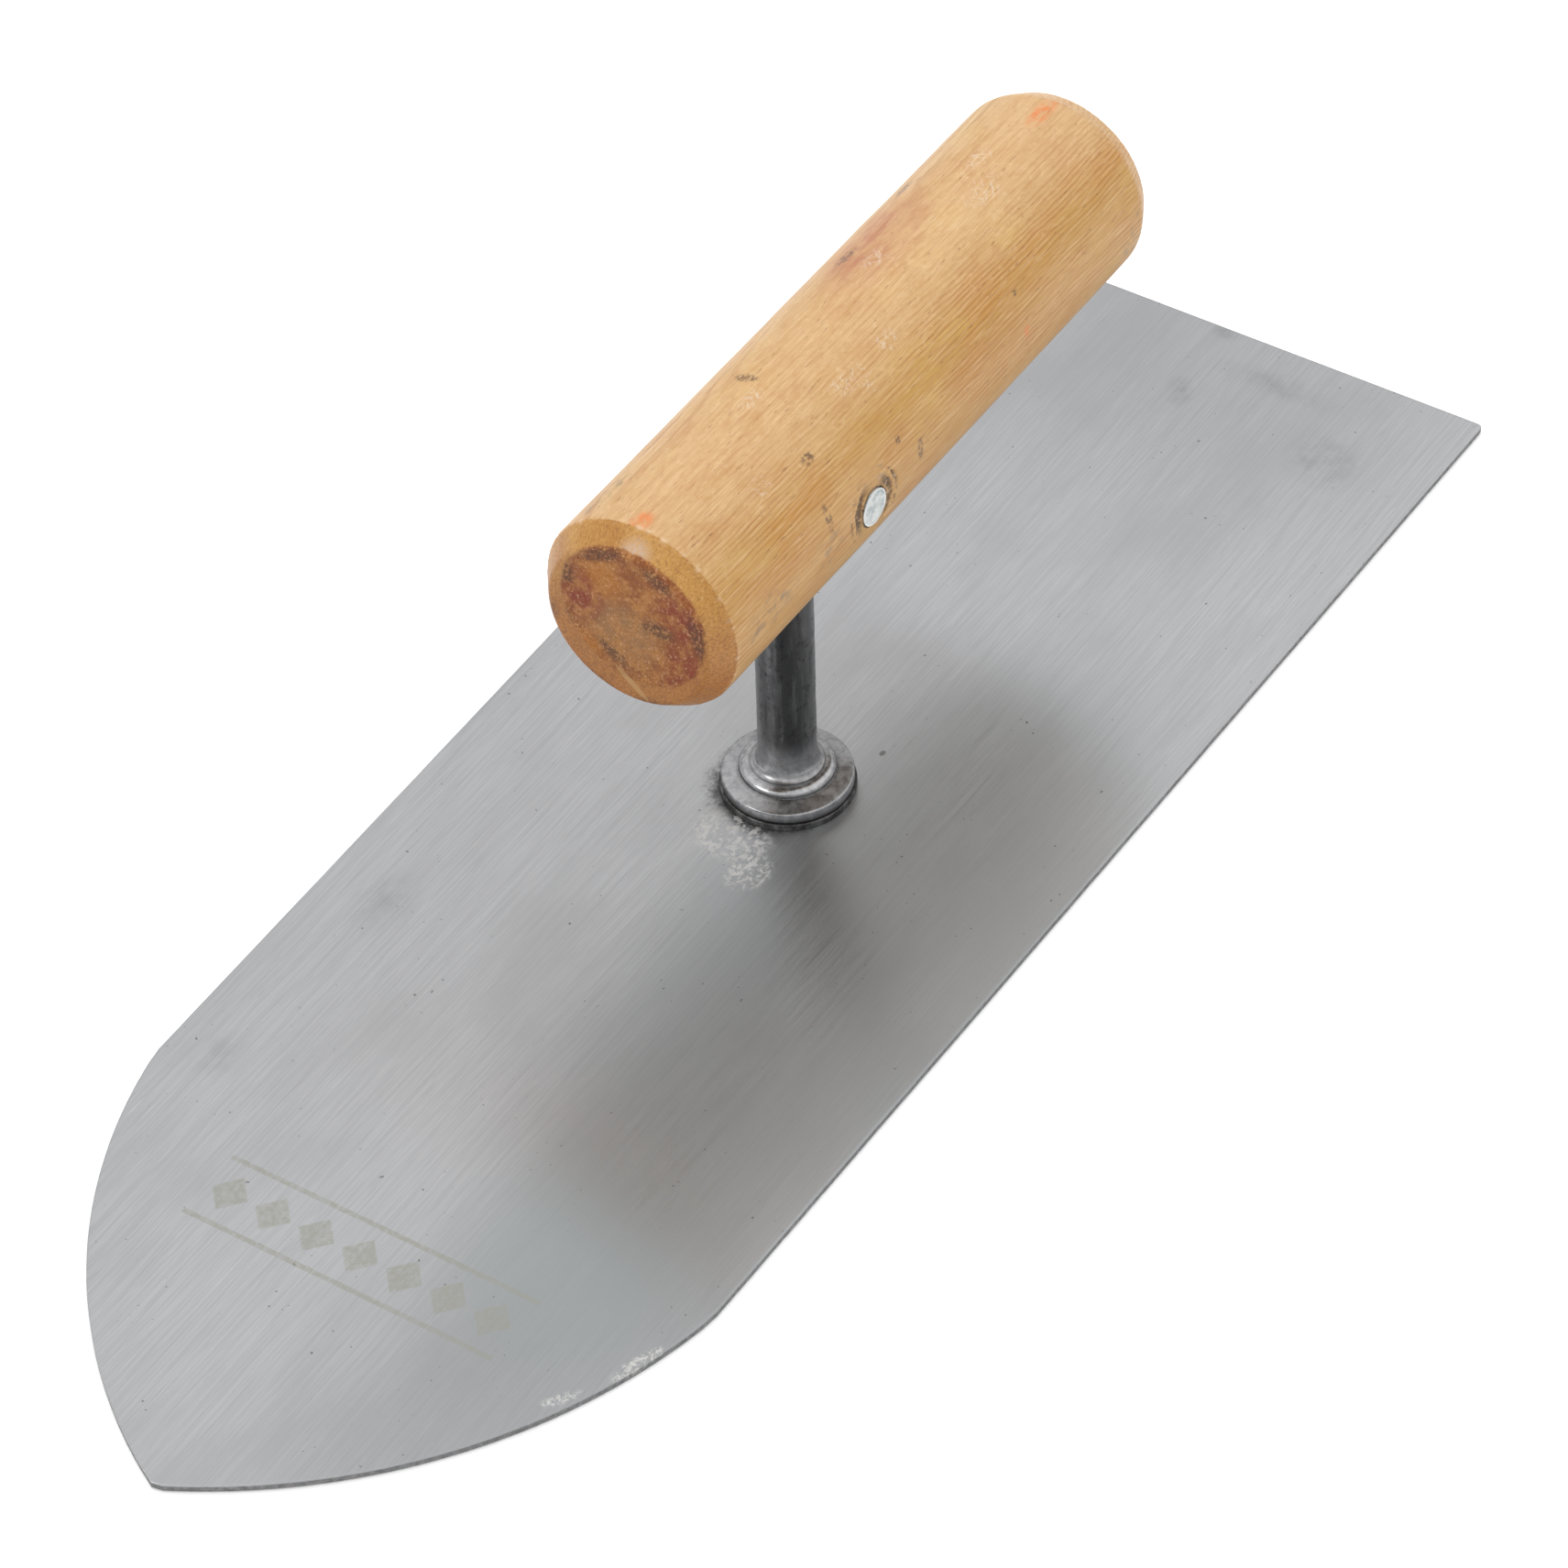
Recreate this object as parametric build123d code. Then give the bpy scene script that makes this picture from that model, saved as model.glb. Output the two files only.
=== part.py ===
from build123d import *
import math
import os

# A pointed hand trowel: a flat steel blade, a post riveted through it on a base
# washer, and a turned wooden handle held on the post by a cross rivet.
# Millimetres. +X runs along the blade to its tip and +Z is up from the sole.
# The origin is on the sole, at the middle of the blade's length and width.

# Blade
blade_length = 283.0
blade_thickness = 1.2
heel_width = 100.0
shoulder_width = 95.0
nose_length = 64.0
nose_radius = 90.0
tip_width = 1.0
heel_corner_radius = 1.0
shoulder_blend_radius = 14.0
blade_edge_ease = 0.15

# Post, a single forging with a stepped flange below and a tenon under that
post_setback = 16.0
shank_radius = 4.45
shank_top_chamfer = 0.8
flange_radius = 10.0
flange_rim_height = 1.8
flange_edge_round = 0.5
crown_rise = 0.7
crown_step_radius = 7.3
crown_step_height = 0.25
bead_inner_radius = 5.7
bead_rise = 1.1
foot_fillet_rise = 2.4
tenon_radius = 3.0
rivet_head_radius = 4.2
rivet_head_depth = 0.8

# Washer between the flange and the blade
washer_radius = 10.3
washer_thickness = 1.1
washer_edge_round = 0.3

# Handle
handle_radius = 16.0
handle_length = 118.0
handle_ahead_of_post = 39.0
handle_axis_height = 63.0
front_chamfer_length = 3.7
front_chamfer_depth = 2.8
rear_chamfer_length = 3.9
rear_chamfer_depth = 2.1
chamfer_crown = 0.25
socket_above_axis = 9.0
socket_end_gap = 0.6
socket_clearance = 0.05
socket_mouth_chamfer = 0.3

# Cross rivet, semi-tubular: flat rimmed head on the +Y side, rolled tail on -Y
cross_shank_radius = 1.9
cross_clearance = 0.05
cross_head_radius = 2.95
cross_head_thickness = 0.8
cross_head_sink = 1.0
cross_rim_width = 0.45
cross_rim_height = 0.15
cross_tail_radius = 2.9
cross_tail_thickness = 0.9
cross_tail_sink = 0.45
cross_tube_radius = 1.1
cross_tube_depth = 6.0
seat_clearance = 0.1

# Places that follow from the sizes
heel_x = -blade_length / 2
tip_x = blade_length / 2
shoulder_x = tip_x - nose_length
post_x = -post_setback
washer_bottom = blade_thickness
flange_bottom = washer_bottom + washer_thickness
shank_top = handle_axis_height + socket_above_axis
handle_front_x = post_x + handle_ahead_of_post
handle_rear_x = handle_front_x - handle_length


def blade():
    """Flat blade with parallel-looking sides that taper to the shoulders and an arched nose."""
    heel = Vector(heel_x, heel_width / 2)
    shoulder = Vector(shoulder_x, shoulder_width / 2)
    tip = Vector(tip_x, tip_width / 2)
    with BuildPart() as built:
        with BuildSketch():
            with BuildLine():
                Line((heel_x, -heel.Y), (heel_x, heel.Y))
                Line(heel, shoulder)
                nose_arc(shoulder, tip)
                Line(tip, (tip_x, -tip.Y))
                mirror(about=Plane.XZ)
            make_face()
        extrude(amount=blade_thickness)
        uprights = built.edges().filter_by(Axis.Z)
        fillet(uprights.group_by(Axis.X)[0], heel_corner_radius)
        shoulders = [e for e in built.edges().filter_by(Axis.Z) if abs(e.center().X - shoulder_x) < 0.01]
        fillet(shoulders, shoulder_blend_radius)
        rims = built.faces().sort_by(Axis.Z)
        chamfer(rims[0].edges() + rims[-1].edges(), blade_edge_ease)
        with Locations((post_x, 0, 0)):
            Cylinder(tenon_radius, 2 * blade_thickness, mode=Mode.SUBTRACT)
            Cone(
                rivet_head_radius,
                tenon_radius,
                rivet_head_depth,
                align=(Align.CENTER, Align.CENTER, Align.MIN),
                mode=Mode.SUBTRACT,
            )
    return built.part


def nose_arc(start, end):
    """Arc of the nose radius from shoulder to tip, bulging away from the centre line."""
    half_chord = (end - start) / 2
    rise = nose_radius - math.sqrt(nose_radius**2 - half_chord.length**2)
    outward = Vector(-half_chord.Y, half_chord.X).normalized()
    return ThreePointArc(start, start + half_chord + outward * rise, end)


def base_washer():
    """Plain round washer that the post's flange seats on."""
    with BuildPart() as built:
        with Locations((post_x, 0, washer_bottom)):
            Cylinder(washer_radius, washer_thickness, align=(Align.CENTER, Align.CENTER, Align.MIN))
        fillet(built.edges().group_by(Axis.Z)[-1], washer_edge_round)
        with Locations((post_x, 0, washer_bottom)):
            Cylinder(tenon_radius, 3 * washer_thickness, mode=Mode.SUBTRACT)
    return built.part


def post():
    """Post turned about its own axis: peened tenon, stepped flange, plain shank, cross hole."""
    rim_top = flange_bottom + flange_rim_height
    crown_top = rim_top + crown_rise
    bead_foot = crown_top + crown_step_height
    bead_top = bead_foot + bead_rise
    fillet_top = bead_top + foot_fillet_rise
    bead_middle = (
        bead_inner_radius + (crown_step_radius - bead_inner_radius) * math.sin(math.pi / 4),
        bead_foot + bead_rise * math.sin(math.pi / 4),
    )
    foot_reach = bead_inner_radius - shank_radius
    foot_middle = (
        bead_inner_radius - foot_reach * math.sin(math.pi / 4),
        fillet_top - foot_fillet_rise * math.sin(math.pi / 4),
    )
    round_end = flange_edge_round * (1 - math.sin(math.pi / 4))
    with BuildPart() as built:
        with BuildSketch(Plane.XZ):
            with BuildLine():
                Polyline(
                    (0, shank_top),
                    (0, 0),
                    (rivet_head_radius, 0),
                    (tenon_radius, rivet_head_depth),
                    (tenon_radius, flange_bottom),
                    (flange_radius - flange_edge_round, flange_bottom),
                )
                ThreePointArc(
                    (flange_radius - flange_edge_round, flange_bottom),
                    (flange_radius - round_end, flange_bottom + round_end),
                    (flange_radius, flange_bottom + flange_edge_round),
                )
                Line((flange_radius, flange_bottom + flange_edge_round), (flange_radius, rim_top - flange_edge_round))
                ThreePointArc(
                    (flange_radius, rim_top - flange_edge_round),
                    (flange_radius - round_end, rim_top - round_end),
                    (flange_radius - flange_edge_round, rim_top),
                )
                Polyline(
                    (flange_radius - flange_edge_round, rim_top),
                    (crown_step_radius, crown_top),
                    (crown_step_radius, bead_foot),
                )
                ThreePointArc((crown_step_radius, bead_foot), bead_middle, (bead_inner_radius, bead_top))
                ThreePointArc((bead_inner_radius, bead_top), foot_middle, (shank_radius, fillet_top))
                Polyline(
                    (shank_radius, fillet_top),
                    (shank_radius, shank_top - shank_top_chamfer),
                    (shank_radius - shank_top_chamfer, shank_top),
                    (0, shank_top),
                )
            make_face()
        revolve(axis=Axis.Z)
        with Locations((0, 0, handle_axis_height)):
            Cylinder(
                cross_shank_radius + cross_clearance,
                4 * shank_radius,
                rotation=(90, 0, 0),
                mode=Mode.SUBTRACT,
            )
    return Pos(post_x, 0, 0) * built.part


def crowned_chamfer(start, end):
    """Chamfer line bowed outward by the chamfer crown, from the side to the end face."""
    middle = (start + end) / 2
    outward = Vector(-(end - start).Y, (end - start).X).normalized()
    if outward.Y < 0:
        outward = -outward
    return ThreePointArc(start, middle + outward * chamfer_crown, end)


def handle():
    """Turned wooden grip with a blind socket from below and a cross bore with two seats."""
    front_side = Vector(handle_front_x - front_chamfer_length, handle_radius)
    front_end = Vector(handle_front_x, handle_radius - front_chamfer_depth)
    rear_side = Vector(handle_rear_x + rear_chamfer_length, handle_radius)
    rear_end = Vector(handle_rear_x, handle_radius - rear_chamfer_depth)
    socket_radius = shank_radius + socket_clearance
    socket_top = shank_top + socket_end_gap
    handle_bottom = handle_axis_height - handle_radius
    with BuildPart() as built:
        with BuildSketch():
            with BuildLine():
                Polyline((handle_front_x, 0), (handle_rear_x, 0), rear_end)
                crowned_chamfer(rear_end, rear_side)
                Line(rear_side, front_side)
                crowned_chamfer(front_side, front_end)
                Line(front_end, (handle_front_x, 0))
            make_face()
        revolve(axis=Axis.X)
    grip = Pos(0, 0, handle_axis_height) * built.part
    with BuildPart() as finished:
        add(grip)
        with Locations((post_x, 0, socket_top)):
            Cylinder(
                socket_radius,
                socket_top - handle_bottom + handle_radius,
                align=(Align.CENTER, Align.CENTER, Align.MAX),
                mode=Mode.SUBTRACT,
            )
        with Locations((post_x, 0, handle_bottom)):
            Cone(
                socket_radius + 2 * socket_mouth_chamfer,
                socket_radius,
                2 * socket_mouth_chamfer,
                align=(Align.CENTER, Align.CENTER, Align.MIN),
                mode=Mode.SUBTRACT,
            )
        with Locations((post_x, 0, handle_axis_height)):
            Cylinder(
                cross_shank_radius + cross_clearance,
                3 * handle_radius,
                rotation=(90, 0, 0),
                mode=Mode.SUBTRACT,
            )
        seat_pocket(1, cross_head_radius, cross_head_sink)
        seat_pocket(-1, cross_tail_radius, cross_tail_sink)
    return finished.part


def seat_pocket(side, radius, sink):
    """Flat seat sunk into the grip's side, where one end of the cross rivet bears."""
    with Locations((post_x, side * handle_radius, handle_axis_height)):
        Cylinder(
            radius + seat_clearance,
            2 * sink,
            rotation=(90, 0, 0),
            mode=Mode.SUBTRACT,
        )


def cross_rivet():
    """Semi-tubular rivet turned about its own axis, then laid across the handle."""
    head_seat = handle_radius - cross_head_sink
    head_face = head_seat + cross_head_thickness
    tail_seat = -(handle_radius - cross_tail_sink)
    tail_face = tail_seat - cross_tail_thickness
    tube_end = tail_face + cross_tube_depth
    roll_middle = (cross_tube_radius + cross_tail_radius) / 2
    rim_inner = cross_head_radius - cross_rim_width
    with BuildPart() as built:
        with BuildSketch(Plane.XZ):
            with BuildLine():
                Polyline(
                    (0, tube_end),
                    (0, head_face),
                    (rim_inner - cross_rim_height, head_face),
                    (rim_inner, head_face + cross_rim_height),
                    (cross_head_radius - cross_rim_height, head_face + cross_rim_height),
                    (cross_head_radius, head_face),
                    (cross_head_radius, head_seat),
                    (cross_shank_radius, head_seat),
                    (cross_shank_radius, tail_seat),
                    (cross_tail_radius, tail_seat),
                )
                ThreePointArc(
                    (cross_tail_radius, tail_seat),
                    (roll_middle, tail_face),
                    (cross_tube_radius, tail_seat),
                )
                Polyline(
                    (cross_tube_radius, tail_seat),
                    (cross_tube_radius, tube_end - cross_tube_radius / 2),
                    (0, tube_end),
                )
            make_face()
        revolve(axis=Axis.Z)
    return Pos(post_x, 0, handle_axis_height) * Rot(-90, 0, 0) * built.part


nodes = {
    "blade": blade,
    "base_washer": base_washer,
    "post": post,
    "handle": handle,
    "cross_rivet": cross_rivet,
}

os.makedirs("parts", exist_ok=True)
for name, make in nodes.items():
    export_step(make(), "parts/" + name + ".step")
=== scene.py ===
import math

import bmesh
import bpy
from mathutils import Matrix, Vector, noise


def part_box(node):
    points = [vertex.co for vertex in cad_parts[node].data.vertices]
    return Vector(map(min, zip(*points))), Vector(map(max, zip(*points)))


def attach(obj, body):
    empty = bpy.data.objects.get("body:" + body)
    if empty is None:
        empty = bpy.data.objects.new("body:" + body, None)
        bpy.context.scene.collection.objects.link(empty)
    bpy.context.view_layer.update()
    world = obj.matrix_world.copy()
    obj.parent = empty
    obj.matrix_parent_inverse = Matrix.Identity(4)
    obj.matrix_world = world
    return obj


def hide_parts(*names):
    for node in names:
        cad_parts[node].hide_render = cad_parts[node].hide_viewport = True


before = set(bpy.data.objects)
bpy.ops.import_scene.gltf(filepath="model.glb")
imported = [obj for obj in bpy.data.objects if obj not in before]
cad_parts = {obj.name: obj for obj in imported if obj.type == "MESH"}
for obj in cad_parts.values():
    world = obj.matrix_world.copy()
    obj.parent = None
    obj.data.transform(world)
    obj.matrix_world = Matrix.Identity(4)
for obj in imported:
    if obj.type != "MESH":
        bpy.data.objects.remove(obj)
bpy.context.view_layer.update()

# The looks of a pointed hand trowel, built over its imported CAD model. Everything is in
# metres and in the model's frame: +X runs along the blade to its tip and +Z is up.
# Every piece of the CAD is replaced by a finer mesh of the same shape, with its material.

mm = 0.001
tau = 2 * math.pi

# Places and sizes that the frame gives
blade_low, blade_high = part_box("blade")
washer_low, washer_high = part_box("base_washer")
post_low, post_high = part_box("post")
grip_low, grip_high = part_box("handle")
rivet_low, rivet_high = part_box("cross_rivet")
post_x = (post_low.x + post_high.x) / 2
flange_radius = (post_high.x - post_low.x) / 2
washer_radius = (washer_high.x - washer_low.x) / 2
grip_radius = (grip_high.y - grip_low.y) / 2
grip_axis_z = (grip_low.z + grip_high.z) / 2
rivet_radius = (rivet_high.x - rivet_low.x) / 2
blade_top = blade_high.z
heel_half = blade_high.y

# Blade shape within its box
shoulder_half = 47.5 * mm
nose_length = 64 * mm
nose_radius = 90 * mm
tip_half = 0.5 * mm
shoulder_blend = 2.333 * mm
shoulder_ease = 0.12 * mm
heel_corner = 1 * mm
edge_round = 0.22 * mm
edge_steps = 4
edge_band = 0.9 * mm
nick_reach = 0.55 * mm
outline_gap = 0.7 * mm
hole_segments = 64
tenon_head_radius = 4.2 * mm
tenon_radius = 3.0 * mm
tenon_head_depth = 0.8 * mm

# The blade is flat, but it is shaded as if its height fell by this times y squared
shading_crown = 0.6
# Length of blade that spans its map once, in metres; the map gives the brushing its direction
map_span = 0.3

# Post and washer shape within their boxes
shank_radius = 4.45 * mm
rim_height = 1.8 * mm
crown_rise = 0.7 * mm
crown_step_radius = 7.3 * mm
crown_step_height = 0.25 * mm
bead_inner_radius = 5.7 * mm
bead_rise = 1.1 * mm
foot_fillet_rise = 2.4 * mm
shank_top_chamfer = 0.8 * mm
washer_wear = 0.04 * mm
turned_gap = 0.5 * mm
turned_segments = 128

# Grip shape within its box
front_chamfer_length = 3.7 * mm
front_chamfer_depth = 2.8 * mm
rear_chamfer_length = 3.9 * mm
rear_chamfer_depth = 2.1 * mm
socket_depth = 5.0 * mm
socket_gap = 0.25 * mm
rivet_pocket = 1.2 * mm
tear_depth = 0.3 * mm
grip_inset = 0.05 * mm
grip_gap = 0.42 * mm
grip_segments = 272
# How far the wood's growth rings drift from the pith per metre of grip
ring_slope = 0.03

# Cross rivet shape within its box
rivet_shank_radius = 1.9 * mm
rivet_head_thickness = 0.8 * mm
rivet_rim_width = 0.45 * mm
rivet_rim_height = 0.15 * mm
rivet_tail_radius = 2.9 * mm
rivet_tail_thickness = 0.9 * mm
rivet_hollow_radius = 1.1 * mm
rivet_hollow_depth = 6.0 * mm
rivet_dent = 0.05 * mm
rivet_gap = 0.18 * mm
rivet_segments = 96

# The photograph's camera, from one pinhole camera fitted to the tool's outlines
camera_place = Vector((533.25, 364.31, 636.16)) * mm
camera_heading = math.radians(213.611)
camera_dip = math.radians(43.941)
camera_lean = math.radians(-1.595)
lens_length = 141.4
sensor_width = 36.0
nearest_seen = 50 * mm

# The studio floor
floor_half = 4.0
floor_drop = 0.15 * mm


# ---------------------------------------------------------------- shapes


def smooth(value, start, end):
    """0 at start, 1 at end and eased in between, either way round."""
    t = min(1.0, max(0.0, (value - start) / (end - start)))
    return t * t * (3 - 2 * t)


def rough(point, size, seed=0.0):
    """Noise from -1 to 1 with features of about this size."""
    return noise.noise(point / size + Vector((seed, 2.7 * seed, -seed)))


def rounded(corners, steps=6):
    """Points along a line whose corners, each (a, b, radius), are eased into arcs."""
    points = []
    last = len(corners) - 1
    for i, (a, b, radius) in enumerate(corners):
        here = Vector((a, b))
        if radius == 0 or i in (0, last):
            points.append(here)
            continue
        back = Vector(corners[i - 1][:2]) - here
        ahead = Vector(corners[i + 1][:2]) - here
        reach = min(radius / math.tan(back.angle(ahead) / 2), 0.48 * back.length, 0.48 * ahead.length)
        start = here + back.normalized() * reach
        end = here + ahead.normalized() * reach
        for k in range(steps + 1):
            t = k / steps
            points.append(start.lerp(here, t).lerp(here.lerp(end, t), t))
    return points


def spaced(points, gap):
    """The same line with points added, so that no two neighbours are further apart than the gap."""
    filled = [points[0]]
    for a, b in zip(points, points[1:]):
        count = max(1, math.ceil((b - a).length / gap))
        filled.extend(a.lerp(b, (k + 1) / count) for k in range(count))
    return filled


def turned(outline, segments, place, relief):
    """Vertices and faces of a closed body turned about an axis.

    The outline runs from pole to pole as (radius, height). place(radius, angle, height)
    gives a point in the frame, and relief(point, angle) is how far the surface stands out there.
    """
    rings = outline[1:-1]
    vertices = [place(0, 0, outline[0].y)]
    for p in rings:
        for k in range(segments):
            angle = tau * k / segments
            out = relief(place(p.x, angle, p.y), angle)
            vertices.append(place(p.x + out, angle, p.y))
    vertices.append(place(0, 0, outline[-1].y))
    top = len(vertices) - 1
    last_ring = 1 + (len(rings) - 1) * segments
    faces = []
    for k in range(segments):
        n = (k + 1) % segments
        faces.append((0, 1 + n, 1 + k))
        faces.append((last_ring + k, last_ring + n, top))
        for a in range(1, last_ring, segments):
            faces.append((a + k, a + n, a + segments + n, a + segments + k))
    return vertices, faces


def piece(name, vertices, faces, finish, node, crease=40):
    """A smooth-shaded mesh object that rides on the tool's one body and stands for a CAD node."""
    mesh = bpy.data.meshes.new(name)
    mesh.from_pydata(vertices, [], faces)
    mesh.validate()
    mesh.shade_smooth()
    mesh.set_sharp_from_angle(angle=math.radians(crease))
    mesh.materials.append(finish)
    obj = bpy.data.objects.new(name, mesh)
    bpy.context.scene.collection.objects.link(obj)
    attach(obj, "root")
    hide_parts(node)
    return obj


def paint(obj, name, shade):
    """A colour on every vertex, which the object's material reads by name."""
    layer = obj.data.color_attributes.new(name, "FLOAT_COLOR", "POINT")
    for i, v in enumerate(obj.data.vertices):
        layer.data[i].color = (*shade(v.co), 1.0)


# ---------------------------------------------------------------- material kit


class Finish:
    """A material being built: one Principled shader and the nodes that feed it."""

    def __init__(self, name):
        self.material = bpy.data.materials.new(name)
        self.material.use_nodes = True
        self.tree = self.material.node_tree
        self.shader = self.tree.nodes["Principled BSDF"]
        self.where = self.node("ShaderNodeTexCoord").outputs["Object"]

    def node(self, kind, inputs=None, **settings):
        """A new node with these settings, its inputs given by name or number."""
        made = self.tree.nodes.new(kind)
        for name, value in settings.items():
            setattr(made, name, value)
        for socket, value in (inputs or {}).items():
            self.feed(made.inputs[socket], value)
        return made

    def feed(self, socket, value):
        """Links another node's output to a socket, or sets the socket to a plain value."""
        if isinstance(value, bpy.types.NodeSocket):
            self.tree.links.new(value, socket)
        else:
            socket.default_value = value

    def set(self, **sockets):
        """Sets shader inputs, with an underscore for each space in a socket's name."""
        for name, value in sockets.items():
            self.feed(self.shader.inputs[name.replace("_", " ")], value)

    def noise(
        self, size, stretch=(1, 1, 1), detail=4, roughness=0.6, seed=0.0, warp=0.0, turn=(0, 0, 0)
    ):
        """Noise whose features are about this size, drawn out along each turned axis by stretch."""
        at = self.node(
            "ShaderNodeMapping",
            {
                "Vector": self.where,
                "Location": (-0.1 * seed, 0.17 * seed, 0.1 * seed),
                "Rotation": turn,
                "Scale": tuple(size * s for s in stretch),
            },
            vector_type="TEXTURE",
        )
        made = self.node(
            "ShaderNodeTexNoise",
            {
                "Vector": at.outputs[0],
                "Scale": 1.0,
                "Detail": detail,
                "Roughness": roughness,
                "Distortion": warp,
            },
        )
        return made.outputs[0]

    def spot(self, centre, size, turn=(0, 0, 0)):
        """1 at the centre, falling to 0 at an ellipsoid of these half sizes."""
        at = self.node(
            "ShaderNodeMapping",
            {"Vector": self.where, "Location": centre, "Rotation": turn, "Scale": size},
            vector_type="TEXTURE",
        )
        made = self.node("ShaderNodeTexGradient", {"Vector": at.outputs[0]}, gradient_type="SPHERICAL")
        return made.outputs["Fac"]

    def ragged(self, mask, texture, strength=1.0, edge=0.4, soft=0.15):
        """The mask with its edge broken up by a texture, and nothing outside it."""
        shift = self.times(self.math("SUBTRACT", texture, 0.5), strength)
        broken = self.scale(self.math("ADD", mask, shift), edge - soft, edge + soft)
        return self.times(broken, self.scale(mask, 0.0, 0.15))

    def worn(self, mask, texture, least=0.2):
        """The mask softened and thinned by a texture, down to the least share of it."""
        return self.times(self.scale(mask, 0.0, 0.75), self.scale(texture, 0.36, 0.62, least, 1.0))

    def faded(self, mask, share):
        """The mask eased, with only this share of it left at its strongest."""
        return self.scale(mask, 0, 1, 0, share)

    def rings(self, centre, spacing, *wander):
        """Wood's growth rings round a pith along X: from 0 to 1 and back once per spacing.

        wander holds (texture, reach) pairs that push the rings about.
        """
        at = self.node("ShaderNodeSeparateXYZ", {0: self.where}).outputs
        across = self.math("SUBTRACT", at["Y"], centre[0])
        down = self.math("SUBTRACT", at["Z"], centre[1])
        squares = self.math("ADD", self.times(across, across), self.times(down, down))
        depth = self.math("SQRT", squares, 0.0)
        depth = self.math("ADD", depth, self.times(at["X"], ring_slope))
        for texture, reach in wander:
            depth = self.math("ADD", depth, self.times(texture, reach))
        wave = self.math("SINE", self.times(depth, tau / spacing), 0.0)
        return self.scale(wave, -1.0, 1.0)

    def scale(self, value, start, end, low=0.0, high=1.0):
        """value eased from low at start to high at end, and held outside them."""
        made = self.node(
            "ShaderNodeMapRange",
            {"Value": value, "From Min": start, "From Max": end, "To Min": low, "To Max": high},
            interpolation_type="SMOOTHSTEP",
        )
        return made.outputs[0]

    def math(self, operation, a, b):
        return self.node("ShaderNodeMath", {0: a, 1: b}, operation=operation, use_clamp=False).outputs[0]

    def times(self, a, b):
        return self.math("MULTIPLY", a, b)

    def distance(self, a, b):
        return self.math("ABSOLUTE", self.math("SUBTRACT", a, b), 0.0)

    def most(self, *values):
        """The largest of several masks."""
        found = values[0]
        for value in values[1:]:
            found = self.math("MAXIMUM", found, value)
        return found

    def mix(self, share, a, b):
        """Colour a with this share of it replaced by colour b."""
        made = self.node("ShaderNodeMix", {0: share}, data_type="RGBA", blend_type="MIX")
        self.feed(made.inputs[6], a if isinstance(a, bpy.types.NodeSocket) else (*a, 1))
        self.feed(made.inputs[7], b if isinstance(b, bpy.types.NodeSocket) else (*b, 1))
        return made.outputs[2]

    def axis(self, letter):
        """The place along one axis of the model's frame, in metres."""
        return self.node("ShaderNodeSeparateXYZ", {0: self.where}).outputs[letter]

    def painted(self, name):
        """The three channels of a colour painted on the vertices."""
        colour = self.node("ShaderNodeAttribute", attribute_name=name).outputs["Color"]
        return self.node("ShaderNodeSeparateColor", {0: colour}).outputs

    def bump(self, height, depth, strength=1.0):
        """Relief of this depth in metres, on top of any relief made before."""
        inputs = {"Height": height, "Distance": depth, "Strength": strength}
        before = self.shader.inputs["Normal"]
        if before.is_linked:
            inputs["Normal"] = before.links[0].from_socket
        self.set(Normal=self.node("ShaderNodeBump", inputs).outputs[0])


# ---------------------------------------------------------------- blade


def blade_outline(gap):
    """The blade's edge seen from above, clockwise from its tip."""
    heel_x, tip_x = blade_low.x, blade_high.x
    shoulder = Vector((tip_x - nose_length, shoulder_half))
    tip = Vector((tip_x, tip_half))
    half_chord = (tip - shoulder) / 2
    to_centre = Vector((half_chord.y, -half_chord.x)).normalized()
    depth = math.sqrt(nose_radius**2 - half_chord.length**2)
    centre = shoulder + half_chord + to_centre * depth
    start = math.atan2(shoulder.y - centre.y, shoulder.x - centre.x)
    end = math.atan2(tip.y - centre.y, tip.x - centre.x)
    arc_steps = math.ceil(nose_radius * (start - end) / gap)
    nose = []
    for k in range(arc_steps + 1):
        a = start + (end - start) * k / arc_steps
        nose.append(centre + nose_radius * Vector((math.cos(a), math.sin(a))))
    straight = [(heel_x, 0, 0), (heel_x, heel_half, heel_corner), (shoulder.x, shoulder.y, 0)]
    side = spaced(rounded(straight), gap)
    left_half = side[:-1] + ease_shoulder(side[-1], nose)
    right_half = [Vector((p.x, -p.y)) for p in reversed(left_half)]
    return right_half[:-1] + left_half[:-1]


def ease_shoulder(shoulder, nose):
    """The nose arc with its first stretch pulled in, so that the shoulder is soft."""
    eased = []
    for p in nose:
        near = 1 - smooth((p - shoulder).length, 0, shoulder_blend)
        eased.append(p + Vector((0, -shoulder_ease * near)))
    return eased


def away_from_sheet(outline):
    """The direction away from the sheet at each point of its outline."""
    normals = []
    for i in range(len(outline)):
        along = outline[(i + 1) % len(outline)] - outline[i - 1]
        normals.append(Vector((along.y, -along.x)).normalized())
    if (outline[0] + normals[0] * mm).length < outline[0].length:
        normals = [-n for n in normals]
    return normals


def edge_section():
    """The edge's profile from sole to top, each point as its distance in and its height."""
    section = [(edge_band, 0.0), (nick_reach, 0.0)]
    for k in range(edge_steps + 1):
        a = 0.5 * math.pi * k / edge_steps
        section.append((edge_round * (1 - math.sin(a)), edge_round * (1 - math.cos(a))))
    return section + [(inset, blade_top - z) for inset, z in reversed(section)]


def nick_depth(at):
    """How far the edge is worn in at a point, by short nicks and by longer hollows."""
    short = 0.05 * mm * max(0.0, rough(at, 1.1 * mm, 3) - 0.25)
    long = 0.04 * mm * max(0.0, rough(at, 6 * mm, 8))
    return short + long


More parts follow.
